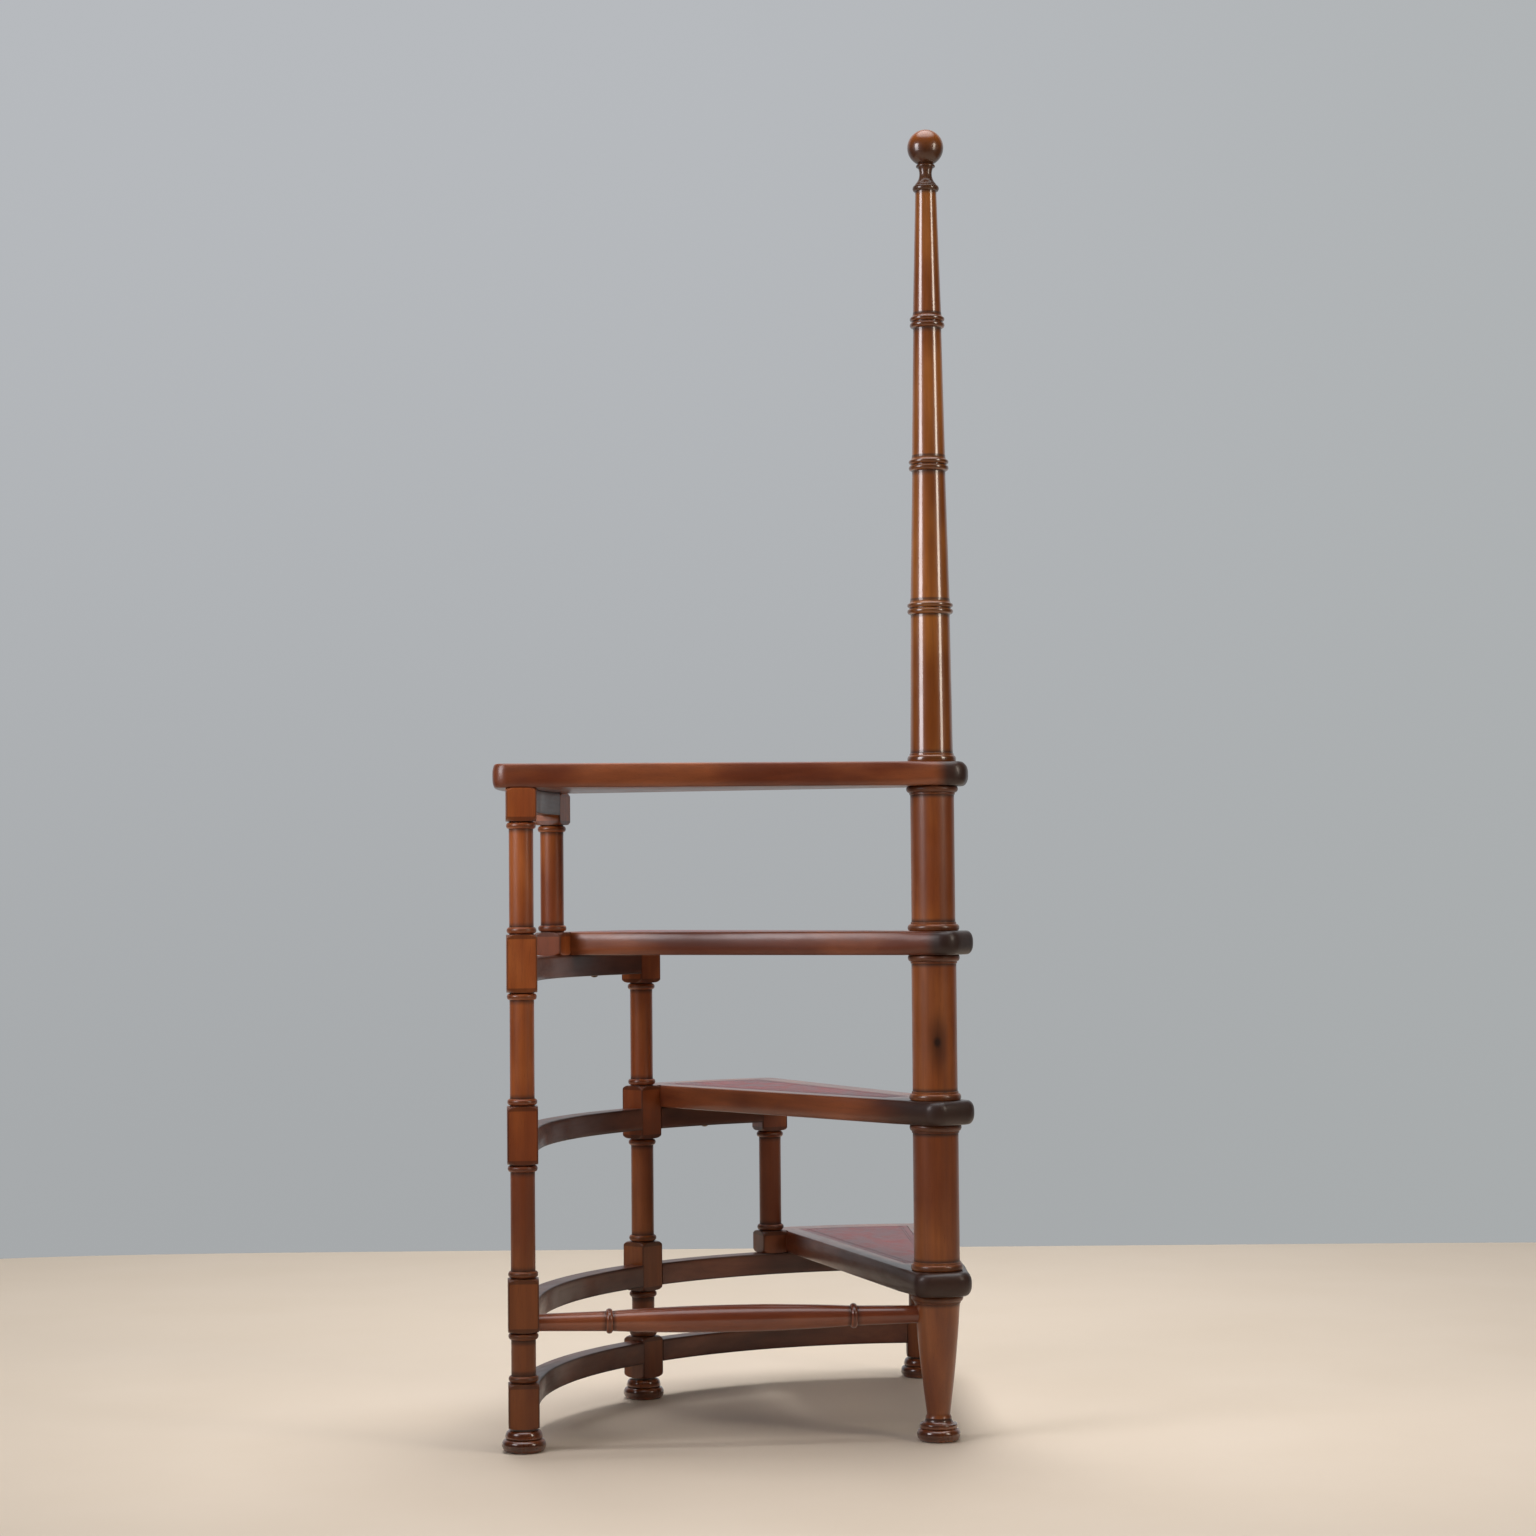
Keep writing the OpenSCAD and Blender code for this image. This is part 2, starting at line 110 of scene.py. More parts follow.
def relief_of(profile, reach=0.007, depth=0.004):
    """How far each point stands out, up to 1, or lies back, down to -1, from those near it."""
    result = []
    for height, radius in profile:
        near = [other for at, other in profile if abs(at - height) < reach]
        spread = max(near) - min(near)
        result.append((2 * radius - max(near) - min(near)) / max(depth, spread))
    return result


def log_place(number):
    """Where in its log a piece was sawn: beside the heart, and some way up."""
    turn = 2.4 * number
    return Vector((0.085 * math.cos(turn), 0.085 * math.sin(turn), 1.3 * number))


def solid(name, points, faces, grain, relief, sharp=35):
    """Smooth-shaded object whose points know their place in the log and their relief."""
    mesh = bpy.data.meshes.new(name)
    mesh.from_pydata(points, [], faces)
    mesh.shade_smooth()
    mesh.set_sharp_from_angle(angle=math.radians(sharp))
    place = mesh.attributes.new("grain", "FLOAT_VECTOR", "POINT")
    place.data.foreach_set("vector", [value for point in grain for value in point])
    height = mesh.attributes.new("relief", "FLOAT", "POINT")
    height.data.foreach_set("value", relief)
    made = bpy.data.objects.new(name, mesh)
    bpy.context.scene.collection.objects.link(made)
    return made


def tube_faces(rings, around):
    """Faces between rings of points that follow each other, and a fan over each end.
    The middles of the two ends come after the rings."""
    faces = []
    end = (rings - 1) * around
    middle = rings * around
    for k in range(around):
        after = (k + 1) % around
        for low in range(0, end, around):
            faces.append((low + k, low + after, low + around + after, low + around + k))
        faces.append((after, k, middle))
        faces.append((end + k, end + after, middle + 1))
    return faces


def lathe(name, profile, place, number, around=72):
    """Turned solid from a list of (height, radius), then put in its place."""
    profile = stations(profile)
    local, relief = [], []
    for (height, radius), out in zip(profile, relief_of(profile)):
        for k in range(around):
            turn = 2 * math.pi * k / around
            local.append(Vector((radius * math.cos(turn), radius * math.sin(turn), height)))
            relief.append(out)
    for height in (profile[0][0], profile[-1][0]):
        local.append(Vector((0, 0, height)))
        relief.append(0)
    grain = [point + log_place(number) for point in local]
    points = [place @ point for point in local]
    return solid(name, points, tube_faces(len(profile), around), grain, relief)


def axis_of(node):
    """Where the upright axis of a foot or a post stands on the floor."""
    low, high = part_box(node)
    return Vector(((low.x + high.x) / 2, (low.y + high.y) / 2, 0))


class Wire:
    """An output of a material's node. Arithmetic on it adds Math nodes."""

    def __init__(self, tree, socket=None):
        self.tree = tree
        self.socket = socket

    def node(self, kind, settings=None, sockets=None, output=0):
        """Adds a node: first its settings, then the values or links of its sockets."""
        made = self.tree.nodes.new("ShaderNode" + kind)
        for key, value in (settings or {}).items():
            setattr(made, key, value)
        for key, value in (sockets or {}).items():
            if isinstance(value, Wire):
                self.tree.links.new(value.socket, made.inputs[key])
            else:
                made.inputs[key].default_value = value
        return Wire(self.tree, made.outputs[output]) if len(made.outputs) else None

    def math(self, operation, first, second=0.0):
        return self.node("Math", {"operation": operation}, {0: first, 1: second})

    def __add__(self, other):
        return self.math("ADD", self, other)

    __radd__ = __add__

    def __sub__(self, other):
        return self.math("SUBTRACT", self, other)

    def __rsub__(self, other):
        return self.math("SUBTRACT", other, self)

    def __mul__(self, other):
        return self.math("MULTIPLY", self, other)

    __rmul__ = __mul__

    def __pow__(self, other):
        return self.math("POWER", self, other)

    def ramp(self, start, end):
        """Smoothly 0 at start and 1 at end, which may be the lower of the two."""
        low, high = min(start, end), max(start, end)
        sockets = {0: self, 1: low, 2: high, 3: float(start > end), 4: float(start < end)}
        return self.node("MapRange", {"interpolation_type": "SMOOTHSTEP"}, sockets)

    def stretched(self, *scale):
        """This vector with its three parts scaled."""
        return self.node("VectorMath", {"operation": "MULTIPLY"}, {0: self, 1: scale})

    def noise(self, detail=2.0, output=0):
        return self.node("TexNoise", {}, {"Vector": self, "Scale": 1.0, "Detail": detail}, output)

    def length(self):
        return self.node("VectorMath", {"operation": "LENGTH"}, {0: self}, 1)

    def mix(self, first, second):
        """One colour turning into another as this goes from 0 to 1."""
        return self.node("Mix", {"data_type": "RGBA"}, {0: self, 6: first, 7: second}, 2)


def dye(red, green, blue):
    """Linear colour for the red, green and blue of a colour chart, 0 to 255."""
    shares = [value / 255 for value in (red, green, blue)]
    return (*(s / 12.92 if s < 0.04 else ((s + 0.055) / 1.055) ** 2.4 for s in shares), 1.0)


def blank(name):
    """A new material, and a wire to start its nodes from."""
    material = bpy.data.materials.new(name)
    material.use_nodes = True
    material.node_tree.nodes.clear()
    return material, Wire(material.node_tree)


def surface(start, colour, roughness, coat, height, coat_roughness=0.1, metallic=0.0):
    """Ends a material's nodes. The height of its texture is in metres."""
    normal = start.node("Bump", {}, {"Strength": 1.0, "Distance": 1.0, "Height": height})
    shader = start.node("BsdfPrincipled", {}, {
        "Base Color": colour, "Roughness": roughness, "Metallic": metallic,
        "Coat Weight": coat, "Coat Roughness": coat_roughness, "Normal": normal,
        "Specular IOR Level": 0.4,
    })
    start.node("OutputMaterial", {}, {"Surface": shader})


def wood(name, dark, middle, light, satin=0.36, shine=0.6, coat_roughness=0.1, knot=None,
         blackening=0.78, floor_shade_and_dust=0.0, top_shine=0.0):
    """Stained hardwood under old polish. Its grain runs along z of each piece's log."""
    ring_width = 0.0085
    material, start = blank(name)
    place = start.node("Attribute", {"attribute_name": "grain"}, output=1)
    relief = start.node("Attribute", {"attribute_name": "relief"}, output=2)
    grime_and_shade_colour = dye(24, 12, 8)

    # The heart wanders, so that the yearly rings cross a piece in long flames
    wander = place.stretched(7, 7, 1.3).noise(output=1)
    bent = start.node("VectorMath", {"operation": "MULTIPLY_ADD"},
                      {0: wander, 1: (0.03, 0.03, 0), 2: place})
    across = bent.stretched(1, 1, 0).length()
    rings = (start.math("SINE", across * (2 * math.pi / ring_width)) * 0.5 + 0.5) ** 2
    flames = bent.stretched(70, 70, 5).noise(4).ramp(0.38, 0.66)
    streaks = bent.stretched(230, 230, 5).noise(4).ramp(0.42, 0.70)
    fibres = bent.stretched(900, 900, 16).noise(2)
    pores = bent.stretched(1300, 1300, 60).noise(1).ramp(0.62, 0.72)
    clouds = place.stretched(11, 11, 4.5).noise(3).ramp(0.38, 0.62)
    smudges = place.stretched(40, 40, 22).noise(3).ramp(0.38, 0.68)
    waves = place.stretched(60, 60, 24).noise(1)

    # Low relief darkens the wood. In the turned hollows this is old polish; where a low relief is
    # set on purpose (collars under treads, the ball, the lower treads' edges) it is painted shade.
    grime_and_shade = relief.ramp(-0.25, -1.0)
    crest = relief.ramp(0.35, 0.95)
    colour = clouds.mix(middle, light)
    colour = (flames * 0.20).mix(colour, dark)
    colour = (rings * 0.07 + streaks * 0.08).mix(colour, dark)
    colour = ((fibres - 0.35) * 0.28).mix(colour, dark)
    colour = (pores * 0.22).mix(colour, grime_and_shade_colour)
    if knot:
        off = start.node("VectorMath", {"operation": "SUBTRACT"}, {0: place, 1: knot})
        away = off.stretched(62, 62, 21).length()
        eye = off.stretched(150, 150, 110).length()
        colour = (away.ramp(1.25, 0.1) * 0.66).mix(colour, grime_and_shade_colour)
        colour = (eye.ramp(1.1, 0.3) * 0.8).mix(colour, dye(12, 6, 5))
    colour = (grime_and_shade * blackening).mix(colour, grime_and_shade_colour)
    colour = (crest * 0.52).mix(colour, grime_and_shade_colour)
    # Painted shade: the colour darkens towards the floor by the given share, and the coat is dulled
    # there too, as by dust.
    above_floor = start.node("SeparateXYZ", {}, {0: start.node("TexCoord", output=3)}, 2)
    low_down = above_floor.ramp(0.54, 0.16)
    colour = (low_down * floor_shade_and_dust).mix(colour, grime_and_shade_colour)
    roughness = satin + streaks * 0.04 + smudges * 0.07 + grime_and_shade * 0.16
    facing_up = start.node("SeparateXYZ", {}, {0: start.node("NewGeometry", output=1)}, 2)
    coat = (1 - grime_and_shade * 0.3) * (1 - low_down * (1.6 * floor_shade_and_dust)) * (shine - smudges * 0.12 * shine)
    coat = coat + facing_up.ramp(0.4, 0.95) * top_shine
    height = fibres * 0.000012 - pores * 0.000012 + waves * 0.0003
    surface(start, colour, roughness, coat, height, coat_roughness)
    return material


foot_wood = wood("foot_polish", dye(60, 26, 12), dye(106, 54, 27), dye(138, 78, 42),
                 satin=0.26, shine=1.0, coat_roughness=0.06)


def foot(node, top, number):
    """Bun foot under a (height, radius) list that leads up to what stands on it."""
    waist = (bun_height, bun_radius - 0.007)
    profile = [(0, sole_radius)]
    profile += bead((0, sole_radius), waist, bun_radius - (sole_radius + waist[1]) / 2, 18)
    made = lathe(node + "_bun", profile + top, Matrix.Translation(axis_of(node)), number, 96)
    made.data.materials.append(foot_wood)
    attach(made, "root")
    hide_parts(node)


# Under the pole a thin ring and a hollow lead up to the slender ankle
ankle_radius = 0.0185
ankle_ring = [(0.0185, 0.0262), (0.0195, 0.0268), (0.0235, 0.0268), (0.0245, 0.0262)]
foot("pole_foot", ankle_ring + quarter(ankle_ring[-1], (foot_top, ankle_radius), False), 1)

# Under a post a full quarter-round and a groove lead up to the square block
ovolo_foot, ovolo_head = (0.0195, 0.0262), (0.0300, 0.0205)
groove_radius = 0.0190
post_ring = [ovolo_foot, *quarter(ovolo_foot, ovolo_head, True),
             (ovolo_head[0], groove_radius), (foot_top, groove_radius)]
for number, node in enumerate(["back_post_foot", "step_3_post_foot", "step_1_post_foot"], 2):
    foot(node, post_ring, number)


# ---------- Pole ----------
# The newel, turned from a russet-stained hardwood in a tapered leg and three
# plain lengths. Each length ends in a collar that clasps a tread, and a spigot
# goes through the tread into the length above.

tread_under = {n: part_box(f"tread_{n}")[0].z for n in (1, 2, 3, 4)}
tread_top = {n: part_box(f"tread_{n}")[1].z for n in (1, 2, 3, 4)}
collar_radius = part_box("pole_section_1")[1].x
collar_height = 0.012
fillet_height = 0.0025
fillet_out = 0.0012
pole_radius = {1: 0.0325, 2: 0.0320, 3: 0.03125}
leg_radius = 0.032
leg_ankle = 0.0165
leg_belly = 0.09
leg_steps = 24
# Relief that paints shade on the collars that hang under the treads.
under_tread_shade = -0.7

russet = dict(dark=dye(62, 27, 13), middle=dye(120, 61, 27), light=dye(150, 86, 41))
pole_wood = wood("pole_polish", **russet, satin=0.36, shine=0.4, coat_roughness=0.16,
                 floor_shade_and_dust=0.1)


def collar(seat, radius, upward, crest=collar_radius):
    """Half-round collar on a tread, with a fillet between it and the pole. It goes from
    the tread upward along the pole, or hangs below one and is listed the same way up."""
    way = 1 if upward else -1
    shoulder = seat + way * (collar_height - fillet_height)
    base = radius + fillet_out
    points = [(seat, base + 0.0008)]
    points += bead(points[0], (shoulder, base), crest - base, 14)
    points += [(seat + way * collar_height, base), (seat + way * (collar_height + 0.0008), radius)]
    return points if upward else points[::-1]


def on_pole(node, profile, number, material=pole_wood):
    """Turned piece of the pole, on its axis."""
    made = lathe(node + "_turned", profile, Matrix(), number, 96)
    made.data.materials.append(material)
    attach(made, "root")
    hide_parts(node)
    return made


def shade_above(made, above, relief):
    """Paints shade on a piece above a height, by lowering the relief of its points there."""
    for point, height in zip(made.data.vertices, made.data.attributes["relief"].data):
        if point.co.z > above:
            height.value = min(height.value, relief)


swell_from, swell_to = foot_top + 0.005, tread_under[1] - collar_height
leg = [(foot_top, ankle_radius), (foot_top + 0.0015, ankle_radius - 0.0006)]
for step in range(leg_steps + 1):
    share = step / leg_steps
    leg.append((
        swell_from + (swell_to - swell_from) * share,
        leg_ankle + (leg_radius - leg_ankle) * (share + leg_belly * math.sin(math.pi * share)),
    ))
made = on_pole("pole_leg", leg[:-1] + collar(tread_under[1], leg_radius, False), 6)
# Painted shade on the collar that hangs under tread 1.
shade_above(made, tread_under[1] - collar_height, under_tread_shade)


def pole_section(n, material=pole_wood):
    """Plain length of the pole above a tread, with a collar at either end."""
    column = collar(tread_top[n], pole_radius[n], True)
    column += collar(tread_under[n + 1], pole_radius[n], False)
    made = on_pole(f"pole_section_{n}", column, 7 + n, material)
    # Painted shade on the collar that hangs under the tread above.
    shade_above(made, tread_under[n + 1] - collar_height, under_tread_shade)


pole_section(1)
pole_section(3)

# The second length has a dark knot on the side that one sees from the front
knot_turn = math.radians(-92)
knot_height = 0.563
knot_at = log_place(9) + Vector((
    pole_radius[2] * math.cos(knot_turn), pole_radius[2] * math.sin(knot_turn), knot_height))
knotty = wood("pole_polish_knot", **russet, satin=0.36, shine=0.4, coat_roughness=0.16,
              knot=knot_at, floor_shade_and_dust=0.1)
pole_section(2, knotty)


# ---------- Hand pole and ball ----------
# The newel goes on above the top tread as a slender tapering hand pole with
# three double rings, turned from one length and polished brightest of all. A
# ball on a waisted neck is pegged into its top.

hand_foot = tread_top[4]
ball_radius = 0.026
ball_middle = 0.055
hand_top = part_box("ball_finial")[1].z - ball_middle - ball_radius
hand_collar_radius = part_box("hand_pole")[1].x
hand_radius = [0.0305, 0.0280, 0.0238, 0.02025, 0.01525]
first_ring, ring_pitch = 0.220, 0.206
ring_half = 0.0095
ring_out = 0.0048
top_bead_height = 0.009
top_bead_radius = 0.019

hand_wood = wood("hand_pole_polish", dye(64, 29, 11), dye(119, 64, 24), dye(152, 92, 38),
                 satin=0.28, shine=1.0, coat_roughness=0.07)


def double_ring(height, radius):
    """Two beads with a sharp groove between them, and a long hollow up to the pole."""
    points = [(height - ring_half, radius), (height - 0.0085, radius + 0.0014)]
    points += bead(points[-1], (height - 0.0011, radius + 0.0022), ring_out - 0.0018, 10)
    points += [(height - 0.0002, radius + 0.0012), (height + 0.0004, radius + 0.0012)]
    points += bead((height + 0.0012, radius + 0.0022), (height + 0.0070, radius + 0.0026),
                   ring_out - 0.0024, 10)
    points += quarter(points[-1], (height + 0.0165, radius), False, 8)
    return points


hand = collar(hand_foot, hand_radius[0], True, hand_collar_radius)
for k in (1, 2, 3):
    hand += double_ring(hand_foot + first_ring + (k - 1) * ring_pitch, hand_radius[k])
bead_foot = (hand_top - top_bead_height, hand_radius[4])
hand += [bead_foot, *bead(bead_foot, (hand_top, hand_radius[4]), top_bead_radius - hand_radius[4])]
made = on_pole("hand_pole", hand, 11, hand_wood)
# Painted shade on the top bead, under the ball.
shade_above(made, hand_top - top_bead_height - 0.001, -1.0)

# The neck narrows to its waist, then flares to a thin ring under the ball
neck_radius, neck_ring_radius = 0.0090, 0.0138
neck_low, neck_high = 0.0015, 0.0262
neck_flare = 0.0064
waist_share = 0.62
under_ball = 0.0105
finial = [(0, 0.0158), (neck_low, 0.0154)]
for step in range(1, 17):
    from_waist = abs(step / 16 - waist_share) / waist_share
    finial.append((neck_low + (neck_high - neck_low) * step / 16,
                   neck_radius + neck_flare * from_waist ** 2.2))
finial += bead((neck_high, 0.0122), (0.0302, under_ball + 0.0010), neck_ring_radius - 0.0119)
start_turn = math.asin(under_ball / ball_radius)
for step in range(41):
    turn = start_turn + (math.pi - 0.01 - start_turn) * step / 40
    finial.append((ball_middle - ball_radius * math.cos(turn), ball_radius * math.sin(turn)))
finial = [(hand_top + height, radius) for height, radius in finial]
ball_wood = wood("ball_polish", dye(72, 33, 13), dye(132, 72, 28), dye(166, 101, 44),
                 satin=0.26, shine=1.0, coat_roughness=0.06, blackening=0.85)
ball = on_pole("ball_finial", finial, 12, ball_wood)
# Painted shade: the ball darkens from near its top downward and is darkest from a little below its
# middle, so only its crown keeps its own colour.
for point, height in zip(ball.data.vertices, ball.data.attributes["relief"].data):
    below = (hand_top + ball_middle + 0.019 - point.co.z) / 0.028
    height.value = min(height.value, -0.25 - 0.6 * max(0.0, min(1.0, below)))


# ---------- Posts ----------
# Five posts of the same hardwood in a redder stain. Each is turned from a
# square stick that keeps its square blocks where rails and treads join it, with
# a bead on either side of every block.

posts = ["back_post", "step_4_post", "step_3_post", "step_2_post", "step_1_post"]
half_block = (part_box("back_post")[1].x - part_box("back_post")[0].x) / 2
corner_ease = 0.0015
shoulder = 0.009
shaft_radius = 0.01725
bead_radius, bead_height = 0.021, 0.009
bead_groove = 0.0015
rail_of_level = {1: "rail_1_back", 2: "rail_2_back", 3: "rail_3", 4: "rail_4"}
top_rail = ["rail_4", "rail_4", "rail_3", "rail_2_front", "rail_1_front"]
low_rail_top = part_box("low_rail_back")[1].z
block_below_rail = {1: 0.007, 2: 0.014, 3: 0.014, 4: 0.014}
block_above_low_rail = 0.006

post_wood = wood("post_polish", dye(76, 31, 13), dye(134, 66, 28), dye(166, 92, 43),
                 satin=0.38, shine=0.4, coat_roughness=0.2, floor_shade_and_dust=0.5)


def square_radius(turn):
    """Distance from the axis to a block's face, or to its eased corner, in a direction."""
    turn = abs((turn + math.pi / 4) % (math.pi / 2) - math.pi / 4)
    flat = half_block - corner_ease
    if turn < math.atan2(flat, half_block):
        return half_block / math.cos(turn)
    to_middle = flat * (math.cos(turn) + math.sin(turn))
    aside = flat * (math.cos(turn) - math.sin(turn))
    return to_middle + math.sqrt(corner_ease ** 2 - aside ** 2)


def block_turns():
    """Directions round a post, close together at the corners of its blocks."""
    edge = math.atan2(half_block - corner_ease, half_block)
    turns = []
    for side in range(4):
        turns += [math.pi / 2 * side + edge * (k / 10 - 1) for k in range(21)]
        turns += [math.pi / 2 * side + edge + (math.pi / 2 - 2 * edge) * k / 4 for k in (1, 2, 3)]
    return turns


def post_profile(blocks):
    """List of (height, radius, is block) up a post with these (foot, top) blocks."""
    corner = half_block * math.sqrt(2) + 0.0005
    points = []
    for number, (low, high) in enumerate(blocks):
        if number:
            start = (low - bead_groove - bead_height, shaft_radius)
            moulding = bead(start, (low - bead_groove, shaft_radius), bead_radius - shaft_radius)
            points += [(*point, 0) for point in [start, *moulding, (low, shaft_radius)]]
        rounding = []
        for step in range(9):
            turn = math.pi / 2 * step / 8
            rounding.append((shoulder * (1 - math.cos(turn)),
                             corner - shoulder + shoulder * math.sin(turn)))
        points += [(low + up, radius, 1) for up, radius in rounding]
        points += [(high - up, radius, 1) for up, radius in rounding[::-1]]
        if number < len(blocks) - 1:
            start = (high + bead_groove, shaft_radius)
            moulding = bead(start, (start[0] + bead_height, shaft_radius),
                            bead_radius - shaft_radius)
            points += [(*point, 0) for point in [(high, shaft_radius), start, *moulding]]
    return stations(points)


turns = block_turns()
for number, node in enumerate(posts):
    top_level = min(4, 5 - number)
    stands_on_rail = number in (1, 3)
    blocks = []
    if stands_on_rail:
        blocks.append((tread_under[top_level - 1], tread_top[top_level - 1]))
    else:
        blocks.append((foot_top, low_rail_top + block_above_low_rail))
        for level in range(1, top_level):
            blocks.append((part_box(rail_of_level[level])[0].z - block_below_rail[level],
                           tread_top[level]))
    blocks.append((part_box(top_rail[number])[0].z - block_below_rail[top_level],
                   tread_under[top_level]))

    profile = post_profile(blocks)
    outs = relief_of([(height, half_block if square else radius)
                      for height, radius, square in profile])
    local, relief = [], []
    for (height, radius, square), out in zip(profile, outs):
        for turn in turns:
            r = min(radius, square_radius(turn)) if square else radius
            local.append(Vector((r * math.cos(turn), r * math.sin(turn), height)))
            relief.append(max(out, 0.9) if square and r > half_block * 1.3 else out)
    for height in (profile[0][0], profile[-1][0]):
        local.append(Vector((0, 0, height)))
        relief.append(0)
    axis = axis_of(node)
    place = Matrix.Translation(axis) @ Matrix.Rotation(math.atan2(axis.y, axis.x), 4, "Z")
    made = solid(node + "_turned", [place @ point for point in local],
                 tube_faces(len(profile), len(turns)),
                 [point + log_place(15 + number) for point in local], relief)
    made.data.materials.append(post_wood)
    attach(made, "root")
    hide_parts(node)


# ---------- Rails ----------
# Curved rails of square section, sawn to their curve from dark-stained boards,
# so that the grain runs straight while the rail bends. Two dowels in each end
# hold them between the posts' blocks.

rails = {
    "low_rail_back": ("back_post", "step_3_post"),
    "low_rail_front": ("step_3_post", "step_1_post"),
    "rail_1_back": ("back_post", "step_3_post"),
    "rail_1_front": ("step_3_post", "step_1_post"),
    "rail_2_back": ("back_post", "step_3_post"),
    "rail_2_front": ("step_3_post", "step_2_post"),
    "rail_3": ("back_post", "step_3_post"),
    "rail_4": ("back_post", "step_4_post"),
}
rail_inside = axis_of("back_post").length - half_block
rail_width = 0.030
rail_ease = 0.0015
beside_edge = 0.004
rail_steps = 48

rail_wood = wood("rail_polish", dye(38, 17, 11), dye(78, 39, 24), dye(108, 59, 37),
                 satin=0.42, shine=0.35, coat_roughness=0.16)


def rail_section(low, high):
    """Outline of a rail as (radius, height, relief), with eased edges."""
    middle = Vector((rail_inside + rail_width / 2, (low + high) / 2))
    half = Vector((rail_width / 2, (high - low) / 2))
    outline = []
    for corner in range(4):
        start = math.pi / 2 * corner
        side = Vector((math.cos(start + math.pi / 4), math.sin(start + math.pi / 4)))
        signs = Vector((math.copysign(1, side.x), math.copysign(1, side.y)))
        centre = middle + Vector((signs.x * (half.x - rail_ease), signs.y * (half.y - rail_ease)))
        arc = [centre + rail_ease * Vector((math.cos(start + math.pi / 2 * k / 3),
                                            math.sin(start + math.pi / 2 * k / 3)))
               for k in range(4)]
        along = Vector((math.cos(start - math.pi / 2), math.sin(start - math.pi / 2)))
        beyond = Vector((math.cos(start + math.pi), math.sin(start + math.pi)))
        outline.append((*(arc[0] + along * beside_edge), 0.0))
        outline += [(*point, 0.9) for point in arc]
        outline.append((*(arc[-1] + beyond * beside_edge), 0.0))
    return outline


for number, (node, (first, last)) in enumerate(rails.items()):
    low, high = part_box(node)
    outline = rail_section(low.z, high.z)
    turns = [math.atan2(*axis_of(post).yx) % (2 * math.pi) for post in (last, first)]
    middle_turn = sum(turns) / 2
    points, relief = [], []
    for step in range(rail_steps + 1):
        for radius, height, out in outline:
            gap = math.asin(half_block / radius)
            turn = turns[0] + gap + (turns[1] - turns[0] - 2 * gap) * step / rail_steps
            points.append(Vector((radius * math.cos(turn), radius * math.sin(turn), height)))
            relief.append(out)
    for end in (0, rail_steps):
        ring = points[end * len(outline):(end + 1) * len(outline)]
        points.append(sum(ring, Vector()) / len(ring))
        relief.append(0)
    # The board lies flat, its grain square to the ray through the rail's middle
    along = Vector((-math.sin(middle_turn), math.cos(middle_turn), 0))
    inward = Vector((math.cos(middle_turn), math.sin(middle_turn), 0))
    grain = [Vector((point.dot(inward) - rail_inside, point.z - high.z, point.dot(along)))
             + log_place(21 + number) for point in points]
    made = solid(node + "_sawn", points, tube_faces(rail_steps + 1, len(outline)), grain, relief)
    made.data.materials.append(rail_wood)
    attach(made, "root")
    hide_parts(node)


# ---------- Stretcher ----------
# A turned stretcher that swells in the middle, with a bead near each end. It is
# pegged into the leg and into the back post, and shines more than the rails.

stretcher_height = sum(corner.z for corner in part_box("stretcher")) / 2
bead_place = 0.120
bead_half, bead_crest = 0.0045, 0.0175
end_radius, waist_radius, middle_radius = 0.012, 0.014, 0.019
into_leg = 0.026
far_bead = axis_of("back_post").length - bead_place

stretcher_wood = wood("stretcher_polish", dye(64, 26, 14), dye(116, 56, 32), dye(146, 80, 48),
                      satin=0.32, shine=0.8, coat_roughness=0.1)

inner = [(into_leg, end_radius + 0.0003), (bead_place - bead_half, waist_radius)]
inner += bead(inner[-1], (bead_place + bead_half, waist_radius), bead_crest - waist_radius)
swell = []
for step in range(1, 40):
    share = step / 40
    swell.append((
        bead_place + bead_half + (far_bead - bead_place - 2 * bead_half) * share,
        waist_radius + (middle_radius - waist_radius) * math.sin(math.pi * share) ** 0.8,
    ))
outer = [(far_bead - bead_half, waist_radius)]
outer += bead(outer[-1], (far_bead + bead_half, waist_radius), bead_crest - waist_radius)
outer.append((rail_inside, end_radius))
place = Matrix.Translation((0, 0, stretcher_height)) @ Matrix.Rotation(-math.pi / 2, 4, "Y")
made = lathe("stretcher_turned", inner + swell + outer, place, 30)
made.data.materials.append(stretcher_wood)
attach(made, "root")
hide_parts("stretcher")


# ---------- Dowels ----------
# Plain beech dowels, glued out of sight in the rails, the posts and the treads.
# They were never stained, so they keep the flecked pale wood.

beech, start = blank("bare_beech")
place = start.node("TexCoord", output=3)
flecks = place.stretched(500, 500, 160).noise(2).ramp(0.56, 0.68)
bands = place.stretched(40, 40, 40).noise(3)
colour = bands.mix(dye(196, 158, 112), dye(222, 190, 146))
colour = (flecks * 0.5).mix(colour, dye(150, 104, 66))
surface(start, colour, 0.6 + flecks * 0.1, 0.0, flecks * 0.00005)
for node in ("rail_dowels", "post_dowels"):
    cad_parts[node].data.materials.clear()
    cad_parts[node].data.materials.append(beech)


# ---------- Treads ----------
# Four wedge-shaped boards of mahogany. Their edges are rounded over, the noses
# are black from years of hands and polish, and a shallow recess in each takes
# the leather. The top board covers its back post, and the lower ones are
# notched for the block of the post that rises beside them.

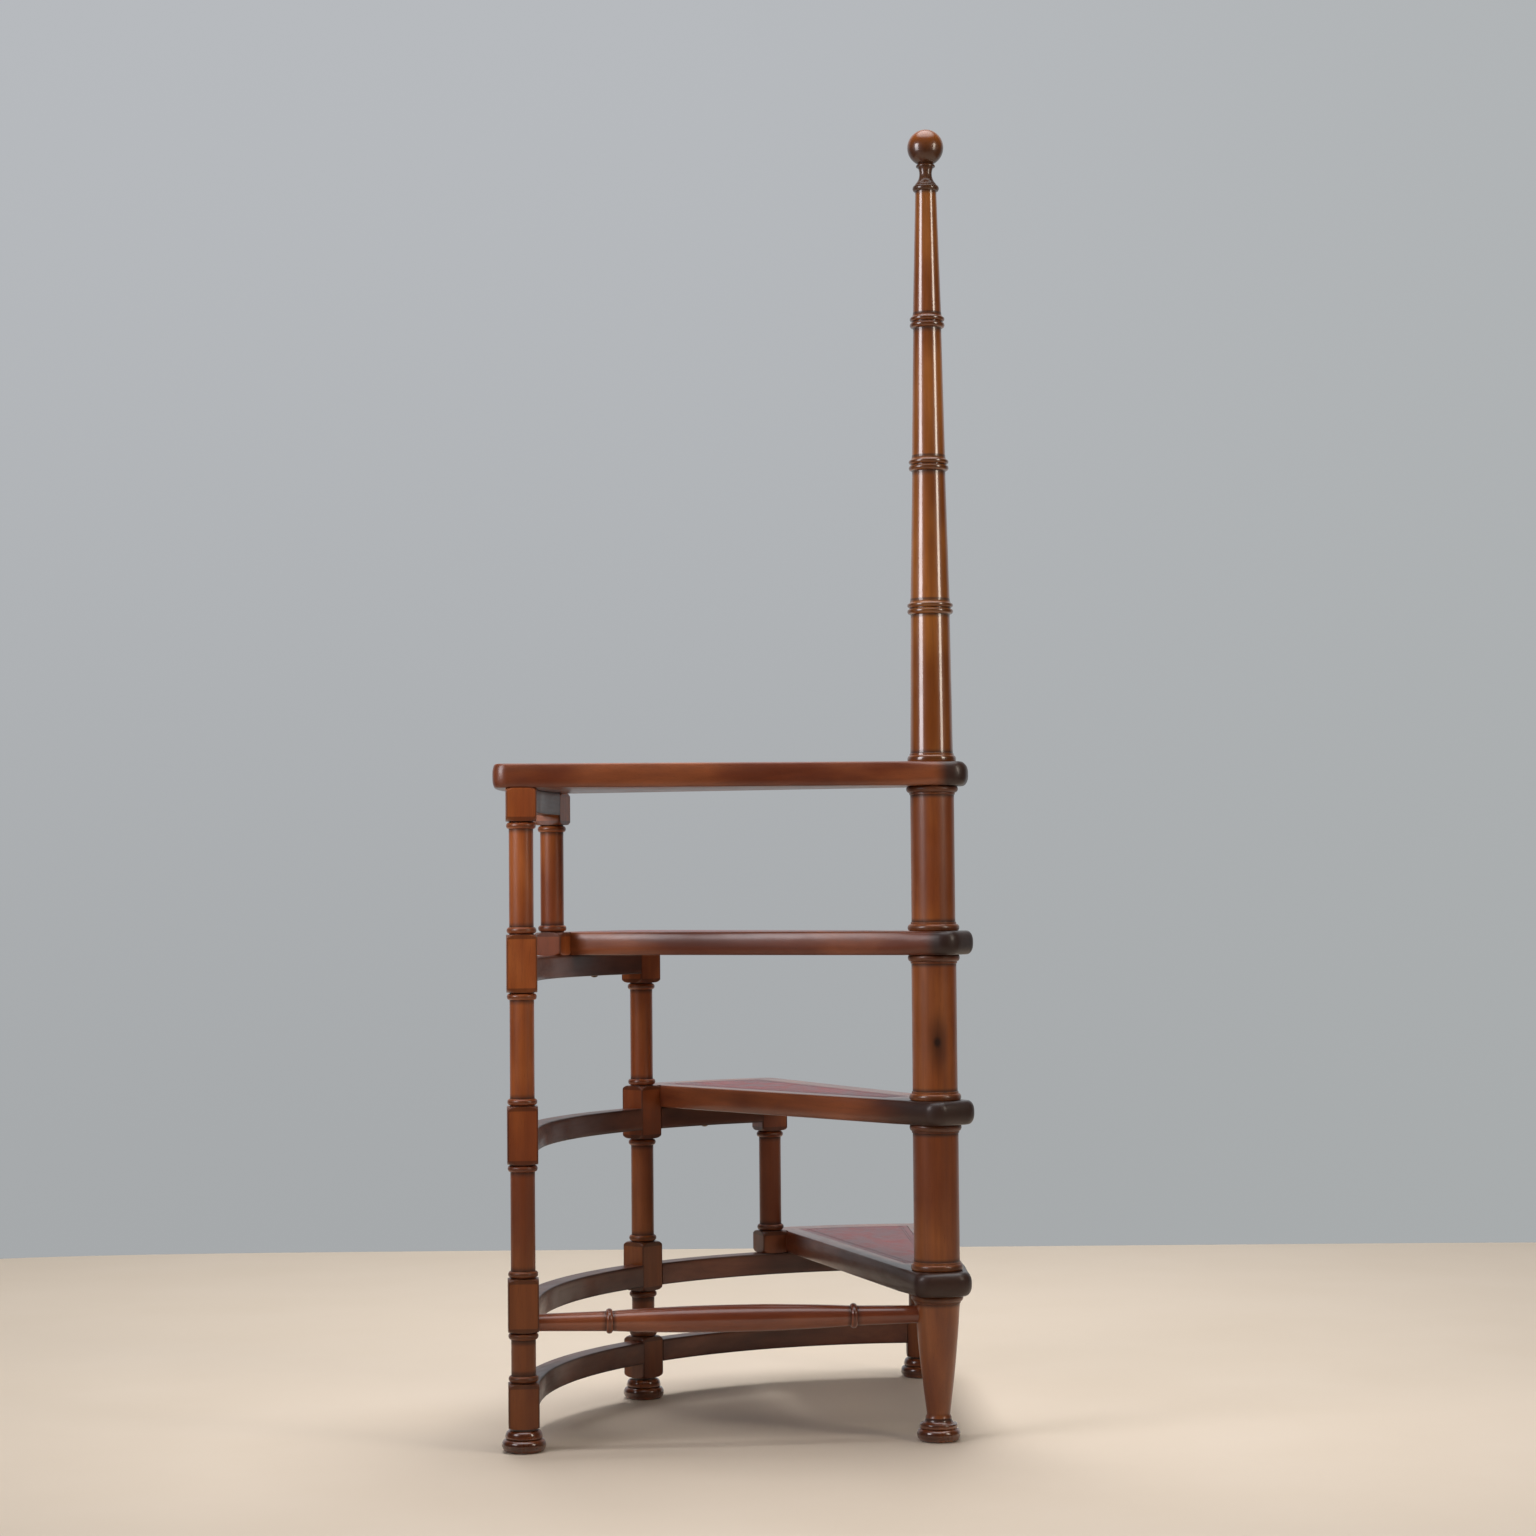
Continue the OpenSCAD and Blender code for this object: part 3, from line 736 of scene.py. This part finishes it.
nose_side, nose_end = 0.047, 0.051
nose_corner, outer_corner = 0.025, 0.022
edge_over = 0.023
post_ring_radius = axis_of("back_post").length
overhang = 0.0398
outer_radius = post_ring_radius + overhang
half_step = math.radians(12)
front_angle = half_step - math.atan((nose_side - edge_over) / post_ring_radius)
border_front, border_back, border_end = 0.042, 0.030, 0.040
leather_inside = 0.088
leather_gap = 0.0004
leather_depth = 0.0015
ease_in, ease_deep = 0.0045, 0.0155
nose_reach, nose_run, nose_rounding = 0.035, 0.040, 1.1
worn_edge = 0.014
# Where each edge starts to darken towards the black nose. On the lower treads it starts far back,
# and that long darkening is painted shade under the treads above.
black_and_shade_from = {1: 1.0, 2: 0.22, 3: 0.012, 4: 0.010}
black_to = -0.030
nose_relief = -1.1

tread_wood = wood("tread_polish", dye(56, 23, 12), dye(98, 46, 24), dye(132, 72, 40),
                  satin=0.34, shine=0.42, coat_roughness=0.24, blackening=0.90, top_shine=0.45)


def pointing(turn):
    return Vector((math.cos(turn), math.sin(turn)))


# Plan of a board on the ray of its middle: the nose's corners, the turns of its
# outer corners, and each back edge's angle and distance from the pole's axis
corner_reach = outer_radius - outer_corner
nose_x = nose_corner - nose_end
nose_y = (nose_side - nose_corner) / math.cos(front_angle) + nose_x * math.tan(front_angle)
wide_turn = front_angle + math.asin((nose_side - outer_corner) / corner_reach)
clear_turn = half_step - math.asin((half_block + outer_corner) / corner_reach)
back_turn = {n: wide_turn if n == 4 else clear_turn for n in (1, 2, 3, 4)}
back_angle, back_side = {}, {}
for n in (1, 2, 3, 4):
    run = corner_reach * pointing(back_turn[n]) - Vector((nose_x, nose_y))
    lean = math.asin((outer_corner - nose_corner) / run.length)
    back_angle[n] = math.atan2(run.y, run.x) + lean
    back_side[n] = nose_corner + Vector((nose_x, nose_y)).dot(pointing(back_angle[n] + math.pi / 2))


def disc_arc(centre, radius, start, end, steps, last_share=1.0):
    """Points round a corner as (point, outward direction, share of the rounding-over)."""
    arc = []
    for step in range(steps + 1):
        out = pointing(start + (end - start) * step / steps)
        arc.append((centre + radius * out, out, 1 + (last_share - 1) * step / steps))
    return arc


def straight(start, end, steps):
    """Outline points between two others, without these two."""
    return [tuple(a + (b - a) * k / steps for a, b in zip(start, end)) for k in range(1, steps)]


def tread_outline(n):
    """A tread's plan, anticlockwise from the tip of its nose."""
    front_out = 1.5 * math.pi - front_angle
    back_out = 0.5 * math.pi + back_angle[n]
    turn = back_turn[n]
    nose = disc_arc(Vector((nose_x, -nose_y)), nose_corner, math.pi, front_out, 16)
    front = disc_arc(corner_reach * pointing(-wide_turn), outer_corner,
                     front_out, 2 * math.pi - wide_turn, 14)
    end = disc_arc(Vector((0, 0)), outer_radius, -wide_turn, turn, 44)[1:-1]
    if n == 4:
        corner = disc_arc(corner_reach * pointing(turn), outer_corner, turn, back_out, 14)
    else:
        beside_block = half_step + math.pi / 2
        corner = disc_arc(corner_reach * pointing(turn), outer_corner, turn, beside_block, 14, 0)
        to_ray = Matrix.Rotation(half_step, 2)
        lean = half_step - back_angle[n]
        edge_y = (back_side[n] - rail_inside * math.sin(lean)) / math.cos(lean)
        corner.append((to_ray @ Vector((rail_inside, -half_block)), pointing(beside_block), 0.0))
        corner.append((to_ray @ Vector((rail_inside, edge_y)), pointing(back_out), 1.0))
    back = disc_arc(Vector((nose_x, nose_y)), nose_corner, back_out, math.pi, 16)[:-1]
    tip = straight(back[-1], nose[0], 4)
    return (nose + straight(nose[-1], front[0], 60) + front + end + corner
            + straight(corner[-1], back[0], 60) + back + tip)


def leather_outline(n, inward=0.0):
    """Plan of a leather, drawn in by this much, anticlockwise from its back inner corner."""
    outline = []
    front_reach = nose_side - border_front - inward
    back_reach = back_side[n] - border_back - inward
    for radius, steps in ((leather_inside + inward, 14), (outer_radius - border_end - inward, 44)):
        turns = [back_angle[n] + math.asin(back_reach / radius),
                 -front_angle - math.asin(front_reach / radius)]
        if outline:
            turns.reverse()
        for step in range(steps + 1):
            outline.append(radius * pointing(turns[0] + (turns[1] - turns[0]) * step / steps))
    return outline


def eased(height, thickness):
    """How far a tread's edge is drawn in at a height above its underside."""
    share = max(0.0, 1 - min(height, thickness - height) / ease_deep)
    return 0.00005 + ease_in * (1 - (1 - share ** 2.2) ** 0.5)


def band(lower, upper, around):
    """Faces between two rings of points that start at these numbers."""
    return [(lower + k, lower + (k + 1) % around, upper + (k + 1) % around, upper + k)
            for k in range(around)]


def within(point, loop):
    """Whether a point lies inside a loop of points."""
    crossings = 0
    for a, b in zip(loop, loop[1:] + loop[:1]):
        if (a.y > point.y) != (b.y > point.y):
            crossings += point.x < a.x + (b.x - a.x) * (point.y - a.y) / (b.y - a.y)
    return crossings % 2 == 1


def flat_face(loops, starts, down=False):
    """Triangles that fill the first loop of points and leave the others open."""
    flat, numbers, edges = [], [], []
    for loop, start in zip(loops, starts):
        first = len(flat)
        edges += [(first + k, first + (k + 1) % len(loop)) for k in range(len(loop))]
        flat += [Vector(point) for point in loop]
        numbers += range(start, start + len(loop))
    found = delaunay_2d_cdt(flat, edges, [], 1, 1e-7)
    faces = []
    for face in found[2]:
        centre = sum((found[0][k] for k in face), Vector((0, 0))) / len(face)
        if not any(within(centre, hole) for hole in loops[1:]):
            corners = [numbers[found[3][k][0]] for k in face]
            faces.append(tuple(corners[::-1] if down else corners))
    return faces


def blackness(n, plan):
    """Relief of a plan's points, from 0 along the edges down to that of the black nose. On the lower
    treads the darkening along the edge is painted shade.
    """
    shares = [(black_and_shade_from[n] - point.x) / (black_and_shade_from[n] - black_to) for point in plan]
    return [nose_relief * max(0.0, min(1.0, share)) ** 1.3 for share in shares]


def nose_share(point):
    """How much a point of the plan belongs to the rounder nose, from 0 to 1."""
    return max(0.0, min(1.0, (nose_reach - point.x) / nose_run))


def add_ring(points, relief, plan, height, outs):
    """Adds a level ring of points, and gives the number of its first one."""
    points += [Vector((*point, height)) for point in plan]
    relief += outs
    return len(points) - len(plan)


def tread_place(n):
    """Puts a tread's plan on its ray, which is halfway between two posts."""
    return Matrix.Rotation(math.pi - (4.5 - n) * 2 * half_step, 4, "Z")


for n in (1, 2, 3, 4):
    bottom, top = tread_under[n], tread_top[n]
    thickness = top - bottom
    outline = tread_outline(n)
    around = len(outline)
    heights = [0, 0.0004, 0.0012, 0.0025, 0.0045, 0.007, 0.010, 0.0135, thickness / 2]
    heights += [thickness - height for height in heights[-2::-1]]
    edge_relief = blackness(n, [point for point, out, share in outline])
    points, relief, faces = [], [], []
    for height in heights:
        inset = eased(height, thickness)
        plan = [point - out * inset * share * (1 + nose_rounding * nose_share(point))
                for point, out, share in outline]
        last = add_ring(points, relief, plan, bottom + height, edge_relief)
        if last:
            faces += band(last - around, last, around)
    bottom_plan = [point.to_2d() for point in points[:around]]
    # A line of points just inside the edge keeps the worn edge narrow
    inner_plan = [point - out * worn_edge * max(share, 0.4) for point, out, share in outline]
    border = add_ring(points, relief, inner_plan, top, blackness(n, inner_plan))
    faces += band(last, border, around)
    recess = leather_outline(n, -leather_gap)
    lip = add_ring(points, relief, recess, top, [-0.3] * len(recess))
    recess_edge = add_ring(points, relief, recess, top - leather_depth, [-1.0] * len(recess))
    faces += band(lip, recess_edge, len(recess))
    faces += flat_face([inner_plan, recess], [border, lip])
    faces += flat_face([recess], [recess_edge])
    faces += flat_face([bottom_plan], [0], down=True)

    grain = [Vector((point.y, point.z - top, point.x)) + log_place(31 + n) for point in points]
    made = solid(f"tread_{n}_board", [tread_place(n) @ point for point in points],
                 faces, grain, relief, 40)
    made.data.materials.append(tread_wood)
    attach(made, "root")
    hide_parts(f"tread_{n}")


# ---------- Leathers ----------
# A panel of burgundy hide glued into the recess of each tread. Two blind lines
# are tooled round its border, and the middle is rubbed pale by feet.

line_inset = (0.009, 0.0125)
line_width, line_depth = 0.0011, 0.0004
rolled_edge, rolled_drop = 0.0008, 0.0004
inner_rows = (0.016, 0.022)

hide, start = blank("burgundy_hide")
place = start.node("Attribute", {"attribute_name": "grain"}, output=1)
tooled = start.node("Attribute", {"attribute_name": "relief"}, output=2).ramp(-0.1, -0.9)
middle_worn = start.node("Attribute", {"attribute_name": "worn"}, output=2)
pebbles = start.node("TexVoronoi", {"feature": "DISTANCE_TO_EDGE"},
                     {"Vector": place, "Scale": 620.0, "Randomness": 1.0})
creases = pebbles.ramp(0.14, 0.02)
patches = place.stretched(16, 16, 16).noise(4).ramp(0.35, 0.7)
rubbed = place.stretched(70, 70, 70).noise(5).ramp(0.42, 0.66) * middle_worn
scratches = place.stretched(260, 30, 30).noise(2).ramp(0.68, 0.75) * middle_worn
colour = patches.mix(dye(84, 22, 26), dye(116, 36, 38))
colour = (rubbed * 0.36).mix(colour, dye(158, 84, 80))
colour = (scratches * 0.3).mix(colour, dye(176, 116, 104))
colour = (creases * 0.55).mix(colour, dye(48, 12, 14))
colour = (tooled * 0.85).mix(colour, dye(30, 10, 10))
roughness = 0.33 + patches * 0.07 + rubbed * 0.10 - tooled * 0.08
surface(start, colour, roughness, 0.35 - rubbed * 0.2, pebbles.ramp(0.0, 0.2) * 0.00012, 0.25)

for n in (1, 2, 3, 4):
    top = tread_top[n]
    rows = [(0.0, -leather_depth, -0.6), (0.0, -rolled_drop, -0.6), (rolled_edge, 0.0, 0.0)]
    for inset in line_inset:
        half = line_width / 2
        rows += [(inset - half, 0.0, 0.0), (inset - half * 0.6, -line_depth, -1.0),
                 (inset + half * 0.6, -line_depth, -1.0), (inset + half, 0.0, 0.0)]
    rows += [(inset, 0.0, 0.0) for inset in inner_rows]
    points, relief, worn, faces = [], [], [], []
    around = len(leather_outline(n))
    for inset, height, out in rows:
        for point in leather_outline(n, inset):
            points.append(Vector((*point, top + height)))
            relief.append(out)
            worn.append(min(1.0, inset / inner_rows[-1]))
    for row in range(len(rows) - 1):
        faces += band(row * around, (row + 1) * around, around)
    last = (len(rows) - 1) * around
    faces += flat_face([leather_outline(n, rows[-1][0])], [last])
    faces += flat_face([leather_outline(n)], [0], down=True)
    grain = [point + Vector((n, 2 * n, 0)) for point in points]
    made = solid(f"leather_{n}_panel", [tread_place(n) @ point for point in points],
                 faces, grain, relief, 50)
    made.data.attributes.new("worn", "FLOAT", "POINT").data.foreach_set("value", worn)
    made.data.materials.append(hide)
    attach(made, "root")
    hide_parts(f"leather_{n}")


# ---------- Screws ----------
# One slotted round-head screw comes up through the rail under each tread. The
# brass has gone almost black.

screw_radius = 0.0055
screw_dome = 0.003
slot_half = 0.0006
slot_deep = 0.0012

brass, start = blank("old_brass")
place = start.node("TexCoord", output=3)
tarnish = place.stretched(420, 420, 420).noise(4).ramp(0.38, 0.66)
turning_marks = place.stretched(2400, 2400, 900).noise(2)
colour = tarnish.mix(dye(112, 84, 48), dye(52, 38, 26))
surface(start, colour, 0.32 + tarnish * 0.25, 0.0, turning_marks * 0.00003, metallic=1.0)

# Rows across the slot, with its walls as rows of their own
half_rows = [screw_radius * math.cos(math.pi / 2 * k / 8) for k in range(8)]
across = [-x for x in half_rows] + [-slot_half, -slot_half, slot_half, slot_half] + half_rows[::-1]
slot_rows = (9, 10)
columns = 24
points, faces = [], []
screw_ring = rail_inside + rail_width / 2
for n in (1, 2, 3, 4):
    rail_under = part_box(rail_of_level[n])[0].z
    place = tread_place(n) @ Matrix.Translation((screw_ring, 0, rail_under))
    first = len(points)
    for row, x in enumerate(across):
        width = math.sqrt(max(screw_radius ** 2 - x ** 2, 1e-10))
        for k in range(columns + 1):
            y = -width * math.cos(math.pi * k / columns)
            share = min(1.0, (x * x + y * y) / screw_radius ** 2)
            depth = screw_dome * math.sqrt(1 - 0.97 * share)
            if row in slot_rows:
                depth = min(depth, screw_dome - slot_deep)
            points.append(place @ Vector((x, y, -depth)))
    for row in range(len(across) - 1):
        for k in range(columns):
            low = first + row * (columns + 1) + k
            faces.append((low, low + 1, low + columns + 2, low + columns + 1))
made = solid("tread_screw_heads", points, faces, points, [0.0] * len(points))
made.data.materials.append(brass)
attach(made, "root")
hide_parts("tread_screws")


# ---------- Floor, light and camera ----------
# A plain pale floor against a plain grey-blue surround. One large soft light
# hangs overhead, a tall one stands on either side of the camera, and a weak one
# hangs above it.

camera_at = Vector((-0.676, -4.365, 0.772))
heading, pitch, roll = math.radians(5.77), math.radians(2.36), math.radians(0.48)
lens, film = 72.5, 36.0

forward = Vector((math.sin(heading) * math.cos(pitch), math.cos(heading) * math.cos(pitch),
                  math.sin(pitch)))
level_right = Vector((math.cos(heading), -math.sin(heading), 0))
level_up = level_right.cross(forward)
right = level_right * math.cos(roll) - level_up * math.sin(roll)
up = level_right * math.sin(roll) + level_up * math.cos(roll)
camera = bpy.data.objects.new("camera", bpy.data.cameras.new("camera"))
camera.data.lens = lens
camera.data.sensor_width = film
camera.data.clip_end = 50
camera.matrix_world = Matrix.Translation(camera_at) @ Matrix(
    (right, up, -forward)).transposed().to_4x4()
bpy.context.scene.collection.objects.link(camera)
bpy.context.scene.camera = camera
bpy.context.scene.view_settings.view_transform = "Standard"

# The floor is a square with round corners, turned to the camera
floor_reach = 2.40
squareness = 7
corners = []
for k in range(160):
    turn = 2 * math.pi * k / 160
    c, s = math.cos(turn), math.sin(turn)
    size = floor_reach / (abs(c) ** squareness + abs(s) ** squareness) ** (1 / squareness)
    corners.append(Matrix.Rotation(-heading, 3, "Z") @ Vector((size * c, size * s, 0)))
mesh = bpy.data.meshes.new("floor")
mesh.from_pydata(corners, [], [tuple(range(len(corners)))])
floor = bpy.data.objects.new("floor", mesh)
bpy.context.scene.collection.objects.link(floor)
floor_paint, start = blank("pale_floor")
place = start.node("TexCoord", output=3)
mottle = place.stretched(3.5, 3.5, 1).noise(3)
colour = mottle.mix(dye(216, 202, 184), dye(222, 209, 193))
surface(start, colour, 0.75, 0.0, mottle * 0.001)
floor.data.materials.append(floor_paint)
floor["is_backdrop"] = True


def soft_light(name, at, toward, width, height, power, colour, fan=180, mirrored=True):
    """Rectangular light that looks from one point toward another, with its fan in degrees."""
    lamp = bpy.data.lights.new(name, "AREA")
    lamp.shape = "RECTANGLE"
    lamp.size, lamp.size_y = width, height
    lamp.energy = power
    lamp.spread = math.radians(fan)
    lamp.color = colour
    made = bpy.data.objects.new(name, lamp)
    way = Vector(toward) - Vector(at)
    made.rotation_mode = "QUATERNION"
    made.rotation_quaternion = way.to_track_quat("-Z", "Y")
    made.location = at
    made.visible_glossy = mirrored
    bpy.context.scene.collection.objects.link(made)


def beside_camera(degrees, distance, height):
    """Point at this angle from the line to the camera, seen from the pole."""
    turn = math.atan2(camera_at.y, camera_at.x) + math.radians(degrees)
    return Vector((distance * math.cos(turn), distance * math.sin(turn), height))


soft_light("overhead", (-0.2, 0.9, 4.3), (-0.2, 0.9, 0), 1.8, 2.8, 182, (1, 0.98, 0.97), 180, False)
soft_light("left", beside_camera(-57, 2.2, 1.77), (0, 0, 1.35), 0.90, 1.5, 11, (1, 0.95, 0.98), 90)
soft_light("right", beside_camera(58, 2.2, 1.80), (0, 0, 1.35), 0.55, 1.4, 6.6, (1, 0.89, 0.76), 90)
soft_light("front", beside_camera(0, 3.8, 3.4), (0, 0, 1.6), 2.4, 1.2, 8, (1, 0.95, 0.88), 80, False)

world = bpy.data.worlds.new("surround")
world.use_nodes = True
world.node_tree.nodes.clear()
start = Wire(world.node_tree)
way = start.node("TexCoord", output=0)
seen = start.node("LightPath", output=0)
mirrored = start.node("LightPath", output=3)
ahead = start.node("VectorMath", {"operation": "DOT_PRODUCT"},
                   {0: way, 1: (math.sin(heading), math.cos(heading), 0)}, 1)
aside = start.node("VectorMath", {"operation": "DOT_PRODUCT"},
                   {0: way, 1: (math.cos(heading), -math.sin(heading), 0)}, 1)
height = start.node("SeparateXYZ", {}, {0: way}, 2)
wall = height.ramp(-0.14, 0.30).mix(dye(166, 169, 171), dye(183, 186, 190))
wall = (aside.ramp(-0.05, 0.28) * 0.5).mix(wall, dye(170, 174, 174))
# Only the wall behind is bright, and the rest of the room is dim
room = ahead.ramp(0.3, 0.8)
glow = room + height.ramp(0.78, 0.94) * 6 + 0.04
strength = seen + (1 - seen) * (mirrored * glow + (1 - mirrored) * (room * 0.3 + 0.09))
sky = start.node("Background", {}, {"Color": wall, "Strength": strength})
start.node("OutputWorld", {}, {"Surface": sky})
bpy.context.scene.world = world

low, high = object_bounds()
